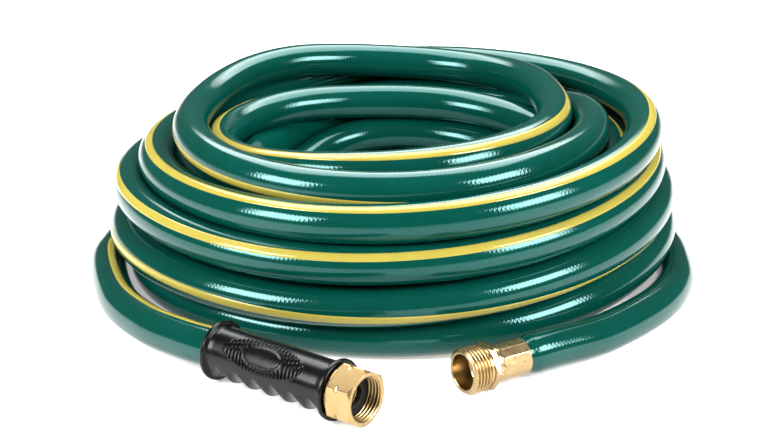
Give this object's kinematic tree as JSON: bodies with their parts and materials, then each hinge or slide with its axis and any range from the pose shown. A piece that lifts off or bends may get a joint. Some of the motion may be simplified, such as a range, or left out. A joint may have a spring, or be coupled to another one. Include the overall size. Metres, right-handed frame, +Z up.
{
  "type": "garden hose",
  "caption": "Coiled garden hose with a male brass coupling at one end and a swivel nut coupling with a moulded rubber grip at the other.",
  "frame": {"origin": "on the floor, below the middle of the whole assembly's outline", "axes": "+Z up, -Y towards the two couplings at the front, +X to the right as they are faced"},
  "size_m": [0.407, 0.4666, 0.115],
  "materials": {
    "hose_cover": "glossy green vinyl with one yellow stripe",
    "hose_liner": "smooth black liner",
    "hose_braid": "knitted white polyester yarn",
    "brass": "machined, satin outside and bright in the bores",
    "grip_rubber": "satin black moulded rubber",
    "washer_rubber": "matt black rubber"
  },
  "bodies": {
    "hose": {"hose_coil": "hose_cover", "male_lead": "hose_cover", "female_lead": "hose_cover", "male_nipple": "brass", "male_ferrule": "brass", "male_end_liner": "hose_liner", "male_end_braid": "hose_braid", "male_end_cover": "hose_cover", "female_stem": "brass", "female_ferrule": "brass", "female_end_liner": "hose_liner", "female_end_braid": "hose_braid", "female_end_cover": "hose_cover", "grip": "grip_rubber"},
    "nut": {"swivel_nut": "brass", "hose_washer": "washer_rubber"}
  },
  "joints": [
    {"name": "nut_spin", "type": "hinge", "parent": "hose", "child": "nut", "pos_m": [-0.0126, -0.2219, 0.0175], "axis": [0.788, -0.6157, 0], "continuous": true}
  ]
}
